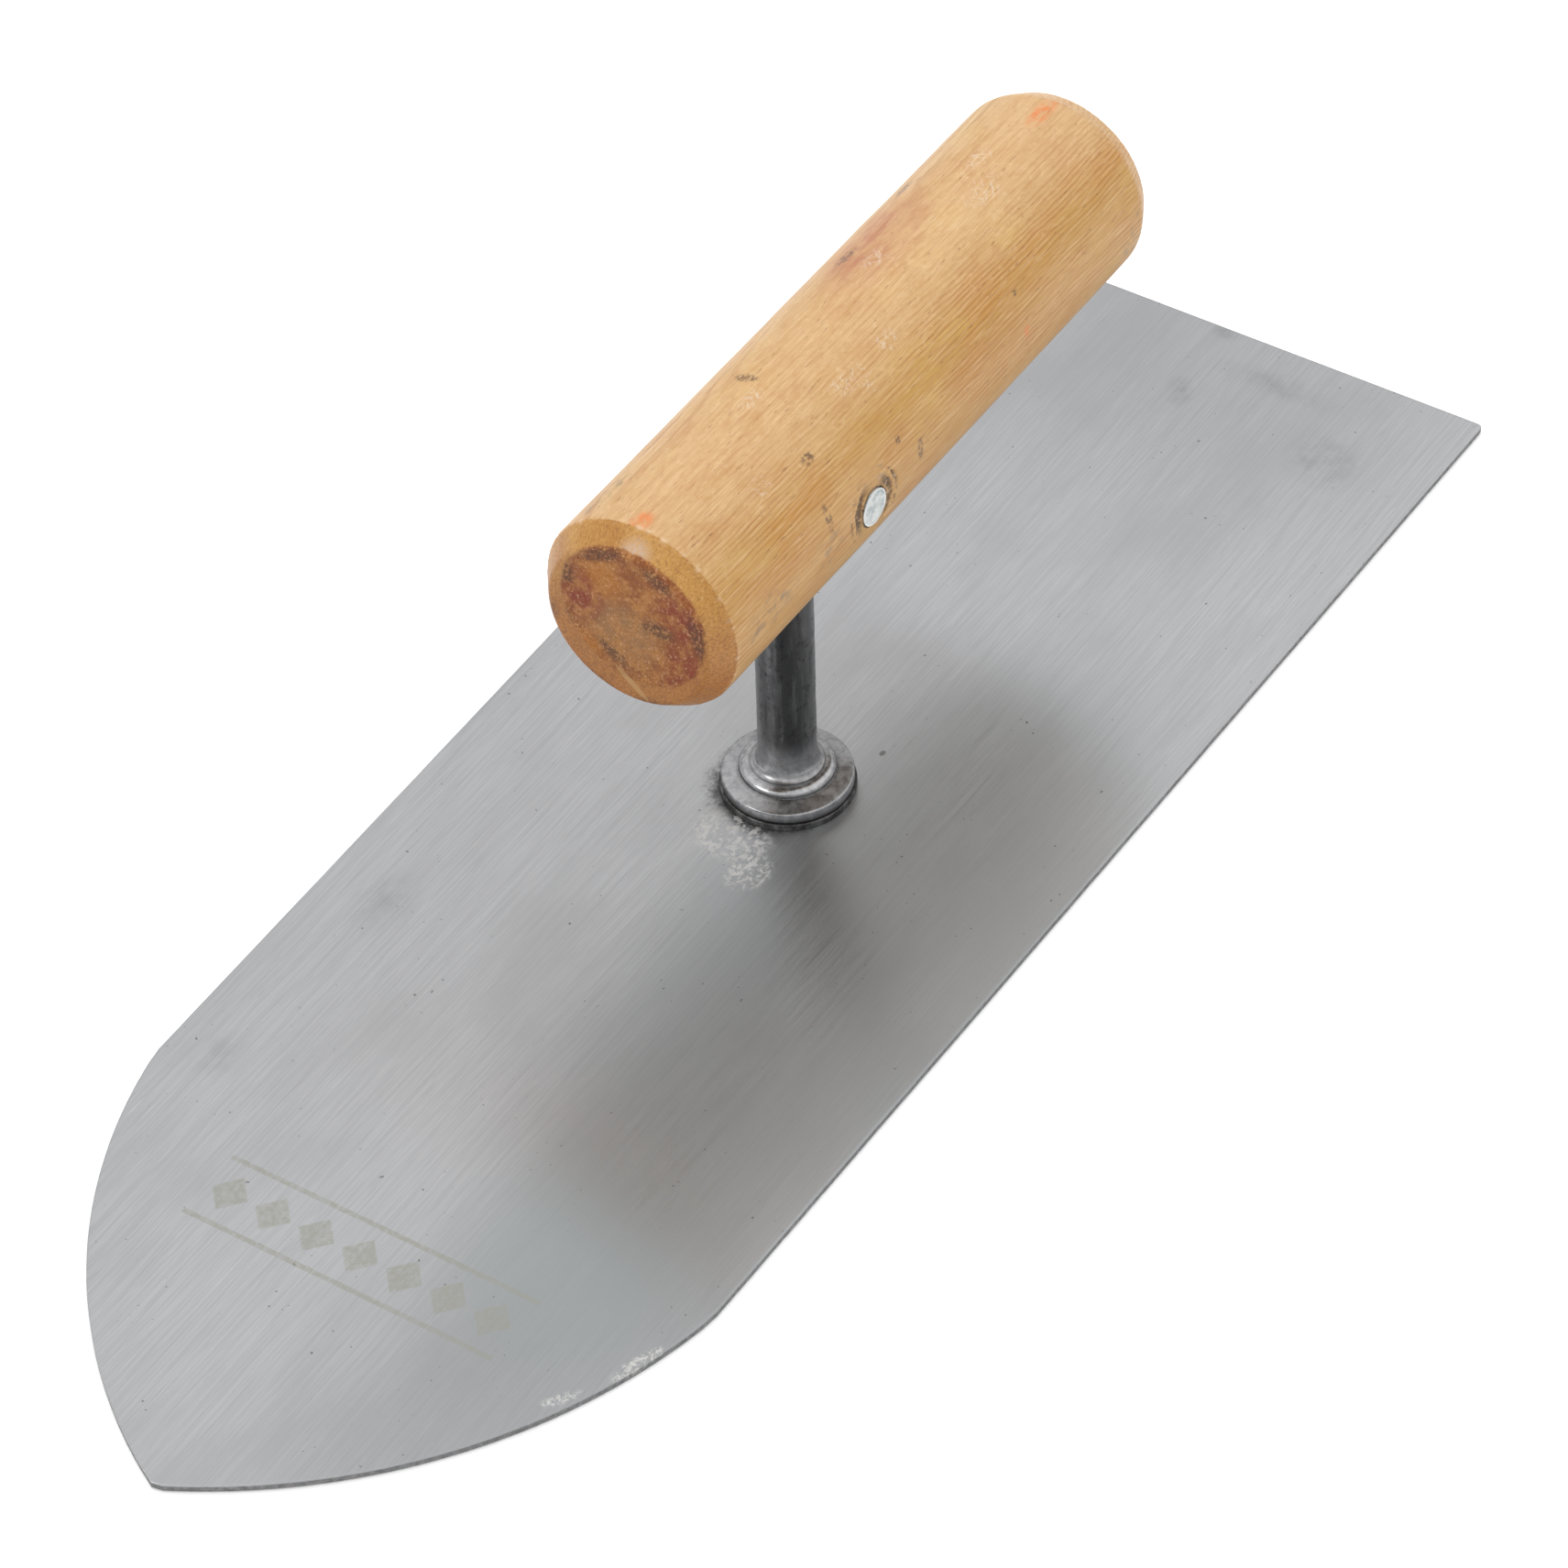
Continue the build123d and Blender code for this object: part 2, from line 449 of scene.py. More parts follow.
def edge_loops(made, outline):
    """Loops of vertices round the blade's edge, from the sole to the top."""
    normals = away_from_sheet(outline)
    loops = []
    for inset, z in edge_section():
        share = 1 - min(1.0, inset / nick_reach)
        loop = []
        for p, n in zip(outline, normals):
            q = p - n * (inset + share * nick_depth(Vector((p.x, p.y, 0))))
            loop.append(made.verts.new((q.x, q.y, z)))
        loops.append(loop)
    return loops


def hole_loops(made):
    """Loops of vertices round the tenon's countersunk hole, from the sole to the top."""
    loops = []
    for radius, z in ((tenon_head_radius, 0.0), (tenon_radius, tenon_head_depth), (tenon_radius, blade_top)):
        loop = []
        for k in range(hole_segments):
            a = tau * k / hole_segments
            loop.append(made.verts.new((post_x + radius * math.cos(a), radius * math.sin(a), z)))
        loops.append(loop)
    return loops


def bridge(made, low, high):
    """Faces between two closed loops with as many vertices each."""
    for i in range(len(low)):
        n = (i + 1) % len(low)
        made.faces.new((low[i], low[n], high[n], high[i]))


def blade_mesh():
    """A sheet with a rounded, slightly nicked edge and a countersunk hole for the post."""
    made = bmesh.new()
    edge = edge_loops(made, blade_outline(outline_gap))
    for low, high in zip(edge, edge[1:]):
        bridge(made, low, high)
    hole = hole_loops(made)
    for low, high in zip(hole, hole[1:]):
        bridge(made, high, low)
    for outer, inner in ((edge[0], hole[0]), (edge[-1], hole[-1])):
        rims = []
        for loop in (outer, inner):
            for a, b in zip(loop, loop[1:] + loop[:1]):
                rims.append(made.edges.get((a, b)))
        bmesh.ops.triangle_fill(made, use_beauty=True, edges=rims)
    bmesh.ops.recalc_face_normals(made, faces=made.faces)
    made.verts.index_update()
    vertices = [v.co.copy() for v in made.verts]
    faces = [tuple(v.index for v in face.verts) for face in made.faces]
    made.free()
    return vertices, faces


def build_blade():
    vertices, faces = blade_mesh()
    blade = piece("blade_sheet", vertices, faces, brushed_blade_steel(), "blade", crease=50)
    layer = blade.data.uv_layers.new(name="along")
    for loop in blade.data.loops:
        at = blade.data.vertices[loop.vertex_index].co / map_span
        layer.data[loop.index].uv = (at.x + 0.5, at.y + at.z + 0.5)
    return blade


def brushed_blade_steel():
    """Satin steel brushed along the blade, smudged, with painted shade and reflection and the etched
    ornament.
    """
    f = Finish("brushed_blade_steel")
    fine = f.noise(0.26 * mm, (50, 1, 1), detail=3)
    stroke = f.noise(0.42 * mm, (26, 1, 1), detail=3, seed=5)
    cloud = f.noise(24 * mm, (1.5, 1, 1), detail=5, roughness=0.55, seed=9)
    grain = f.noise(0.8 * mm, roughness=0.7, seed=7)
    foot = f.ragged(blade_spot(f, post_x + 1.3 * mm, -1.3 * mm, 13 * mm, 12.6 * mm), grain, 0.5, 0.26)
    etched = f.times(etched_band(f), f.scale(grain, 0.62, 0.42, 0.45, 1.0))
    residue = dried_residue(f, grain)
    # The sheet's sides, below its rounded top edge, are darker and rougher
    darker_sides = f.scale(f.axis("Z"), blade_top - 0.10 * mm, blade_top - 0.25 * mm)

    grey = brushing(f, fine, stroke)
    grey = f.mix(f.scale(cloud, 0.42, 0.70, 0, 0.6), grey, (0.490, 0.492, 0.500))
    grey = smudged(f, painted_reflection_and_shade(f, grey))
    grey = f.mix(f.times(foot, 0.7), grey, (0.07, 0.065, 0.06))
    grey = specked(f, grey)
    grey = f.mix(f.times(etched, 0.68), grey, (0.415, 0.41, 0.35))
    grey = f.mix(f.times(residue, 0.7), grey, (0.66, 0.65, 0.62))
    grey = f.mix(f.times(darker_sides, f.scale(grain, 0.3, 0.7, 0.95, 0.6)), grey, (0.17, 0.17, 0.17))
    f.set(Base_Color=grey)
    f.set(Metallic=f.math("SUBTRACT", 1.0, f.times(residue, 0.8)))
    gloss = f.scale(stroke, 0.25, 0.75, 0.32, 0.38)
    f.set(Roughness=f.math("ADD", gloss, f.times(f.most(foot, residue, darker_sides), 0.2)))
    f.set(Anisotropic=0.85)
    f.set(Anisotropic_Rotation=0.25)
    f.set(Tangent=f.node("ShaderNodeTangent", direction_type="UV_MAP", uv_map="along").outputs[0])
    across = f.axis("Y")
    f.bump(f.times(f.times(across, across), -shading_crown), 1.0)
    f.bump(fine, 0.005 * mm, 0.6)
    f.bump(stroke, 0.010 * mm, 0.5)
    f.bump(cloud, 0.05 * mm, 0.4)
    return f.material


def blade_spot(f, x, y, length, width, turn=0.0):
    """A soft patch on the blade's top face, with these half sizes."""
    return f.spot((x, y, blade_top), (length, width, mm), (0, 0, turn))


def brushing(f, fine, stroke):
    """Fine brushed lines, with brighter and duller strokes that gather in patches."""
    patch = f.noise(7 * mm, (1.8, 1, 1), seed=6)
    grey = f.mix(f.scale(fine, 0.3, 0.7), (0.520, 0.525, 0.537), (0.605, 0.610, 0.622))
    bright = f.times(f.scale(stroke, 0.56, 0.72), f.scale(patch, 0.4, 0.62, 0.12, 0.5))
    grey = f.mix(bright, grey, (0.72, 0.725, 0.735))
    dull = f.times(f.scale(stroke, 0.42, 0.28), f.scale(patch, 0.6, 0.4, 0.1, 0.5))
    return f.mix(dull, grey, (0.41, 0.415, 0.425))


def painted_reflection_and_shade(f, grey):
    """The steel with a painted reflection of the grip, partly cooled, and painted shade at the nose and
    heel.
    """
    # Painted reflection: a darker patch where the grip's reflection lies
    grip_reflection_patch = blade_spot(f, 18 * mm, 29 * mm, 105 * mm, 38 * mm)
    grey = f.mix(f.scale(grip_reflection_patch, 0.0, 0.6, 0, 0.60), grey, (0.365, 0.383, 0.388))
    # Painted shade: dimmer patches at the nose and the heel
    painted_shade = f.most(
        blade_spot(f, 112 * mm, 44 * mm, 62 * mm, 52 * mm),
        f.faded(blade_spot(f, -128 * mm, 10 * mm, 70 * mm, 70 * mm), 0.42),
    )
    grey = f.mix(f.scale(painted_shade, 0.0, 0.7, 0, 0.45), grey, (0.322, 0.335, 0.340))
    # Painted reflection: a cooler patch that takes the warm tint out of the grip's reflection
    cooled_reflection = blade_spot(f, 76 * mm, 26 * mm, 30 * mm, 24 * mm)
    return f.mix(f.scale(cooled_reflection, 0.0, 0.8, 0, 0.6), grey, (0.405, 0.445, 0.450))


def smudged(f, grey):
    """The steel with dark smudges near its heel and faint ones along its -Y side."""
    dirt = f.noise(2.6 * mm, roughness=0.55, seed=2)
    smudge = f.most(
        blade_spot(f, -124 * mm, 5 * mm, 4.5 * mm, 2.6 * mm, 0.5),
        f.faded(blade_spot(f, -133 * mm, 18 * mm, 4 * mm, 15 * mm), 0.6),
        f.faded(blade_spot(f, -121 * mm, 33 * mm, 9 * mm, 8 * mm, 0.9), 0.8),
        f.faded(blade_spot(f, -140.5 * mm, 4 * mm, 2.5 * mm, 4 * mm), 0.9),
        f.faded(blade_spot(f, 35 * mm, -37 * mm, 9 * mm, 7 * mm), 0.5),
        f.faded(blade_spot(f, 73 * mm, -39 * mm, 6 * mm, 5 * mm), 0.5),
    )
    smudge = f.times(smudge, f.scale(dirt, 0.30, 0.75, 0.25, 1.0))
    return f.mix(f.times(smudge, 0.42), grey, (0.16, 0.16, 0.17))


def specked(f, grey):
    """The steel with a few rare specks, and a larger one behind the post."""
    rare = f.noise(8 * mm, detail=2, roughness=0.5, seed=12)
    dots = f.noise(0.9 * mm, detail=1, roughness=0.5, seed=11)
    speck = f.times(f.scale(dots, 0.73, 0.77), f.scale(rare, 0.5, 0.6))
    large = f.scale(blade_spot(f, -28.7 * mm, 8.6 * mm, 0.9 * mm, 0.6 * mm), 0.1, 0.5)
    return f.mix(f.times(f.most(speck, large), 0.7), grey, (0.14, 0.135, 0.13))


def dried_residue(f, grain):
    """Where pale residue has dried: ahead of the post and along the nose's +Y edge."""
    residue = f.most(
        blade_spot(f, -2 * mm, -1.5 * mm, 6 * mm, 8 * mm),
        blade_spot(f, 3 * mm, 5 * mm, 5 * mm, 4 * mm),
        f.faded(blade_spot(f, 101 * mm, 38 * mm, 5 * mm, 1.4 * mm, -0.6), 0.5),
        blade_spot(f, 90 * mm, 43.8 * mm, 6 * mm, 1.7 * mm, -0.35),
    )
    return f.times(f.scale(residue, 0.0, 0.4), f.scale(grain, 0.46, 0.58))


def etched_band(f):
    """A plain ornament across the nose: lozenges in a row between two thin lines."""
    band_x, band_half = 94 * mm, 26.1 * mm
    pitch, line_offset = 7.4 * mm, 5.8 * mm
    half_along, half_across = 3.4 * mm, 3.0 * mm
    off = f.distance(f.axis("X"), band_x)
    across = f.distance(f.axis("Y"), 0.0)
    step = f.math("PINGPONG", f.axis("Y"), pitch / 2)
    lozenge = f.math("ADD", f.math("DIVIDE", off, half_along), f.math("DIVIDE", step, half_across))
    lozenge = f.scale(lozenge, 1.08, 0.92)
    line = f.scale(f.distance(off, line_offset), 0.55 * mm, 0.30 * mm)
    ends = f.scale(across, band_half + 0.2 * mm, band_half - 0.2 * mm)
    upper = f.scale(f.axis("Z"), 0.8 * mm, 1.0 * mm)
    return f.times(f.times(f.most(lozenge, line), ends), upper)


# ---------------------------------------------------------------- post and washer


def upright(radius, angle, height):
    """A point round the post's axis, with the height from the sole."""
    return Vector((post_x + radius * math.cos(angle), radius * math.sin(angle), height))


def quarter_round(centre, first, last):
    """Corners between the ends of a quarter ellipse, from centre + first to centre + last."""
    steps = 8
    corners = []
    for k in range(1, steps):
        a = 0.5 * math.pi * k / steps
        x = centre[0] + first[0] * math.cos(a) + last[0] * math.sin(a)
        y = centre[1] + first[1] * math.cos(a) + last[1] * math.sin(a)
        corners.append((x, y, 0))
    return corners


def build_post():
    rim_bottom = washer_high.z
    rim_top = rim_bottom + rim_height
    crown_top = rim_top + crown_rise
    bead_foot = crown_top + crown_step_height
    bead_top = bead_foot + bead_rise
    fillet_top = bead_top + foot_fillet_rise
    bead = quarter_round(
        (bead_inner_radius, bead_foot), (crown_step_radius - bead_inner_radius, 0), (0, bead_rise)
    )
    foot = quarter_round(
        (bead_inner_radius, fillet_top), (0, -foot_fillet_rise), (shank_radius - bead_inner_radius, 0)
    )
    outline = rounded([
        (0, 0, 0),
        (tenon_head_radius, 0, 0),
        (tenon_radius, tenon_head_depth, 0),
        (tenon_radius, rim_bottom, 0),
        (flange_radius, rim_bottom, 0.3 * mm),
        (flange_radius, rim_top, 0.45 * mm),
        (crown_step_radius, crown_top, 0.1 * mm),
        (crown_step_radius, bead_foot, 0.1 * mm),
        *bead,
        (bead_inner_radius, bead_top, 0.08 * mm),
        (bead_inner_radius - 0.12 * mm, bead_top, 0),
        *foot,
        (shank_radius, fillet_top, 0),
        (shank_radius, post_high.z - shank_top_chamfer, 0.3 * mm),
        (shank_radius - shank_top_chamfer, post_high.z, 0.2 * mm),
        (0, post_high.z, 0),
    ])

    def relief(at, angle):
        if at.z < rim_bottom + 0.1 * mm:
            return 0.0
        dents = 0.05 * mm * rough(at, 3.5 * mm, 4) + 0.02 * mm * rough(at, 1.1 * mm, 6)
        flats = 0.04 * mm * math.sin(3 * angle + 0.6)
        return min(0.0, dents - 0.03 * mm) + min(0.0, flats) * smooth(at.z, 8 * mm, 12 * mm)

    vertices, faces = turned(spaced(outline, turned_gap), turned_segments, upright, relief)
    post = piece("post_forging", vertices, faces, forged_steel(), "post")

    def wear_and_highlight(at):
        radius = math.hypot(at.x - post_x, at.y)
        # The flange rim's outer top edge is painted bright as a highlight; the bead's crest is worn bright
        rim = smooth(radius, 9.4 * mm, 9.9 * mm) * smooth(at.z, rim_bottom, rim_top)
        bead_crest = smooth(radius, bead_inner_radius, 6.6 * mm)
        bead_crest *= 1 - smooth(radius, 7.1 * mm, 7.5 * mm)
        low = (1 - smooth(at.z, 7 * mm, 14 * mm)) * smooth(at.z, rim_bottom, rim_top)
        step_groove = abs(radius - crown_step_radius) < 0.25 * mm and at.z < bead_foot + 0.3 * mm
        foot_groove = abs(radius - bead_inner_radius) < 0.2 * mm and at.z > bead_foot + 0.8 * bead_rise
        grooves = step_groove or foot_groove
        return (max(0.5 * rim, bead_crest), low, 1.0 if grooves else 0.0)

    paint(post, "wear_and_highlight", wear_and_highlight)
    return post


def forged_steel():
    """Dark forged skin streaked along the shank, with a painted sheen, worn bright low down, and a painted
    rim highlight.
    """
    f = Finish("forged_steel")
    # First channel: the bead's worn crest and the painted highlight on the flange's rim
    worn, low, grooves = f.painted("wear_and_highlight")[:3]
    streaks = f.noise(1.5 * mm, (1, 1, 9), seed=3)
    skin = f.noise(1.2 * mm, detail=5, roughness=0.65, seed=6)
    # Painted sheen: the dark skin turns lighter towards its outline, where it faces away from the view
    painted_sheen = f.node("ShaderNodeLayerWeight", {"Blend": 0.5}).outputs["Facing"]
    dark = f.mix(f.scale(painted_sheen, 0.15, 0.75), (0.060, 0.059, 0.060), (0.175, 0.175, 0.177))
    dark = f.mix(f.scale(streaks, 0.50, 0.68, 0, 0.55), dark, (0.22, 0.22, 0.22))
    dark = f.mix(f.scale(streaks, 0.45, 0.30, 0, 0.60), dark, (0.035, 0.035, 0.036))
    dark = f.mix(f.scale(skin, 0.52, 0.66, 0, 0.6), dark, (0.035, 0.035, 0.036))
    bare = f.mix(f.scale(skin, 0.35, 0.65), (0.40, 0.40, 0.41), (0.61, 0.61, 0.62))
    share = f.most(f.times(low, 0.8), worn)
    colour = f.mix(share, dark, bare)
    pits = f.noise(0.5 * mm, detail=3, roughness=0.7, seed=15)
    colour = f.mix(f.scale(pits, 0.66, 0.74, 0, 0.5), colour, (0.05, 0.05, 0.05))
    colour = f.mix(f.times(grooves, 0.5), colour, (0.08, 0.08, 0.08))
    f.set(Base_Color=colour)
    f.set(Metallic=1.0)
    gloss = f.scale(skin, 0.3, 0.7, 0.26, 0.36)
    gloss = f.math("SUBTRACT", gloss, f.times(worn, 0.06))
    f.set(Roughness=gloss)
    f.bump(streaks, 0.03 * mm, 0.5)
    f.bump(skin, 0.012 * mm, 0.5)
    return f.material


def build_washer():
    """A ring turned round the tenon, whose profile closes on itself."""
    outline = rounded([
        (tenon_radius, washer_low.z, 0),
        (washer_radius, washer_low.z, 0.12 * mm),
        (washer_radius, washer_high.z, 0.3 * mm),
        (tenon_radius, washer_high.z, 0),
    ])
    profile = spaced(outline, turned_gap)
    vertices = []
    for p in profile:
        for k in range(turned_segments):
            angle = tau * k / turned_segments
            worn = 0.0
            if p.x > tenon_radius + mm:
                worn = min(0.0, washer_wear * rough(upright(p.x, angle, p.y), 4 * mm, 12))
            vertices.append(upright(p.x + worn, angle, p.y))
    faces = []
    for i in range(len(profile)):
        a = i * turned_segments
        b = (i + 1) % len(profile) * turned_segments
        for k in range(turned_segments):
            n = (k + 1) % turned_segments
            faces.append((a + k, a + n, b + n, b + k))
    return piece("base_washer_ring", vertices, faces, washer_steel(), "base_washer")


def washer_steel():
    """Dull steel, dark with grime."""
    f = Finish("washer_steel")
    grime = f.noise(1.2 * mm, detail=5, roughness=0.65, seed=4)
    colour = f.mix(f.scale(grime, 0.35, 0.65), (0.07, 0.068, 0.066), (0.17, 0.17, 0.17))
    f.set(Base_Color=colour)
    f.set(Metallic=1.0)
    f.set(Roughness=f.scale(grime, 0.35, 0.65, 0.6, 0.35))
    f.bump(grime, 0.05 * mm, 0.6)
    return f.material


# ---------------------------------------------------------------- grip


def lengthwise(radius, angle, height):
    """A point round the grip's axis, with the angle from straight up towards +Y."""
    return Vector((height, radius * math.sin(angle), grip_axis_z + radius * math.cos(angle)))


def near_rivet(at):
    """Distance from the cross rivet's axis, in the XZ plane."""
    return math.hypot(at.x - post_x, at.z - grip_axis_z)


def torn_wood(at):
    """How torn the wood is by the rivet, from 0 to 1: ragged arcs ahead of its head and behind it."""
    if at.y < 0:
        return 0.0
    from_head = near_rivet(at) - rivet_radius
    turn = math.atan2(at.z - grip_axis_z, at.x - post_x)
    ragged = 0.6 * rough(at, 1.5 * mm, 21) + 0.5 * rough(at, 0.6 * mm, 22)
    ahead = math.exp(-(((turn - 0.35) / 0.75) ** 2))
    behind = math.exp(-(((abs(turn) - 2.7) / 0.5) ** 2))
    bold = 1 - smooth(abs(from_head - 1.1 * mm + 0.7 * mm * ragged), 0.35 * mm, 0.9 * mm)
    thin = smooth(math.sin(tau * from_head / (1.3 * mm)) + 2.4 * ragged, 0.3, 1.1)
    thin *= 1 - smooth(from_head, 2.4 * mm, 4.2 * mm)
    torn = max(ahead * max(1.5 * bold, 0.8 * thin), behind * max(0.9 * bold, 1.3 * thin))
    return min(1.0, torn * smooth(from_head, 0, 0.4 * mm))


def grip_relief(at, angle):
    """Uneven turning, raised fibres at the ends, torn wood and the pockets for rivet and post."""
    radius = math.hypot(at.y, at.z - grip_axis_z)
    uneven = 0.07 * mm * rough(at, 16 * mm, 1) + 0.03 * mm * rough(at, 5 * mm, 2)
    uneven *= smooth(radius, 2 * mm, 8 * mm)
    fibres = rough(Vector((at.x / 30, at.y, at.z)), 0.6 * mm, 5)
    uneven += 0.05 * mm * fibres * smooth(radius, 12 * mm, 14 * mm)
    pocket = 0.0
    if radius > grip_radius - 2 * mm:
        if near_rivet(at) < rivet_radius - 0.1 * mm:
            pocket = rivet_pocket
        from_post = math.hypot(at.x - post_x, at.y)
        if at.z < grip_axis_z and from_post < shank_radius + socket_gap:
            pocket = socket_depth
    return uneven - grip_inset - tear_depth * torn_wood(at) - pocket


def grip_zones(at):
    """Painted on the grip: its chamfers, its sawn ends, and nearness to the front end's rim."""
    chamfer_start = grip_high.x - front_chamfer_length
    turned_end = max(
        smooth(at.x, chamfer_start - 0.3 * mm, chamfer_start + 0.5 * mm),
        1 - smooth(at.x, grip_low.x + 0.2 * mm, grip_low.x + 0.9 * mm),
    )
    off_centre = math.hypot(at.y - 0.9 * mm, at.z - grip_axis_z - 2.4 * mm)
    sawn_front = 1 - smooth(off_centre, 10.9 * mm, 12.7 * mm)
    sawn_front *= smooth(at.x, grip_high.x - 1.0 * mm, grip_high.x - 0.5 * mm)
    radius = math.hypot(at.y, at.z - grip_axis_z)
    sawn_rear = 1 - smooth(radius, 12 * mm, 13.6 * mm)
    sawn_rear *= 1 - smooth(at.x, grip_low.x + 0.5 * mm, grip_low.x + 1.0 * mm)
    rim = smooth(off_centre, 7 * mm, 11.5 * mm)
    return (turned_end, max(sawn_front, sawn_rear), rim)


def grip_marks(at):
    """Painted on the grip: torn wood, the dark ring round the rivet, and painted glints on the chamfer's
    edge.
    """
    ring = 1 - smooth(near_rivet(at), rivet_radius + 0.05 * mm, rivet_radius + 0.45 * mm)
    ring = ring if at.y > 0 else 0.6 * ring
    # Painted highlight: pale glints along the edge where the front chamfer starts
    from_edge = abs(at.x - (grip_high.x - front_chamfer_length)) / (0.55 * mm)
    ticks = smooth(rough(Vector((0, at.y, at.z)), 0.8 * mm, 45), 0.1, 0.5)
    return (min(1.0, 1.3 * torn_wood(at)), ring, ticks * max(0.0, 1 - from_edge))


def build_grip():
    front, rear = grip_high.x, grip_low.x
    outline = rounded([
        (0, front, 0),
        (grip_radius - front_chamfer_depth, front, 1.0 * mm),
        (grip_radius - 0.1 * mm, front - front_chamfer_length, 1.6 * mm),
        (grip_radius - 0.1 * mm, rear + rear_chamfer_length, 3.2 * mm),
        (grip_radius - rear_chamfer_depth, rear, 1.4 * mm),
        (0, rear, 0),
    ])
    vertices, faces = turned(spaced(outline, grip_gap), grip_segments, lengthwise, grip_relief)
    grip = piece("wooden_grip", vertices, faces, grip_wood(), "handle", crease=60)
    paint(grip, "zones", grip_zones)
    paint(grip, "marks", grip_marks)
    return grip


def grip_wood():
    """Varnished wood, spotted and torn, with amber chamfers and sawn end grain."""
    f = Finish("varnished_wood")
    turned_end, sawn, rim = f.painted("zones")[:3]
    torn, ring, painted_glints = f.painted("marks")[:3]
    patch = f.noise(7 * mm, (2.4, 1, 1), seed=14)
    figure = f.noise(2.2 * mm, (2.2, 1, 1), seed=16, warp=0.6)
    fibre = f.noise(0.45 * mm, (26, 1, 1), detail=3, roughness=0.55, seed=2)
    smear = f.noise(1.2 * mm, (1.6, 1, 1), seed=18)
    hairs = f.noise(0.30 * mm, (3, 1, 1), detail=3, roughness=0.65, seed=27)
    pitted = f.noise(0.50 * mm, detail=3, roughness=0.7, seed=33)

    wood = spotted_wood(f, grown_wood(f, patch, figure, fibre), patch, figure, smear)
    hole = f.most(f.times(torn, 0.85), ring)
    wood = f.mix(hole, wood, (0.085, 0.055, 0.035))
    splinter = f.times(f.scale(torn, 0.10, 0.40), f.scale(smear, 0.5, 0.62))
    wood = f.mix(f.times(splinter, 0.65), wood, (0.56, 0.40, 0.27))
    fringed_end = f.math("ADD", turned_end, f.times(f.math("SUBTRACT", hairs, 0.5), 0.8))
    wood = f.mix(f.scale(fringed_end, 0.35, 0.6), wood, amber_end(f, patch, hairs))
    # Painted highlight: pale glints along the front chamfer's edge
    wood = f.mix(f.times(painted_glints, 0.4), wood, (0.86, 0.68, 0.50))
    sawn = f.ragged(sawn, f.noise(0.9 * mm, roughness=0.7, seed=36), 1.1, 0.45, 0.3)
    wood = f.mix(sawn, wood, end_grain(f, rim))
    gouge = end_spot(f, 0.2 * mm, -10.2 * mm, 0.8 * mm, 4.6 * mm, 0.87, depth=1.2 * mm)
    wood = f.mix(f.scale(gouge, 0.1, 0.5, 0, 0.75), wood, (0.54, 0.31, 0.12))

    f.set(Base_Color=wood)
    gloss = f.scale(fibre, 0.3, 0.7, 0.42, 0.54)
    f.set(Roughness=f.math("ADD", gloss, f.times(f.most(f.times(sawn, 0.5), hole), 0.25)))
    f.set(Coat_Weight=f.math("SUBTRACT", 0.2, f.times(f.most(hole, sawn), 0.2)))
    f.set(Coat_Roughness=0.30)
    f.set(Specular_IOR_Level=0.35)
    f.bump(fibre, 0.03 * mm, 0.6)
    f.bump(figure, 0.06 * mm, 0.4)
    f.bump(f.times(pitted, f.most(sawn, f.times(turned_end, 0.35))), 0.28 * mm, 1.0)
    return f.material


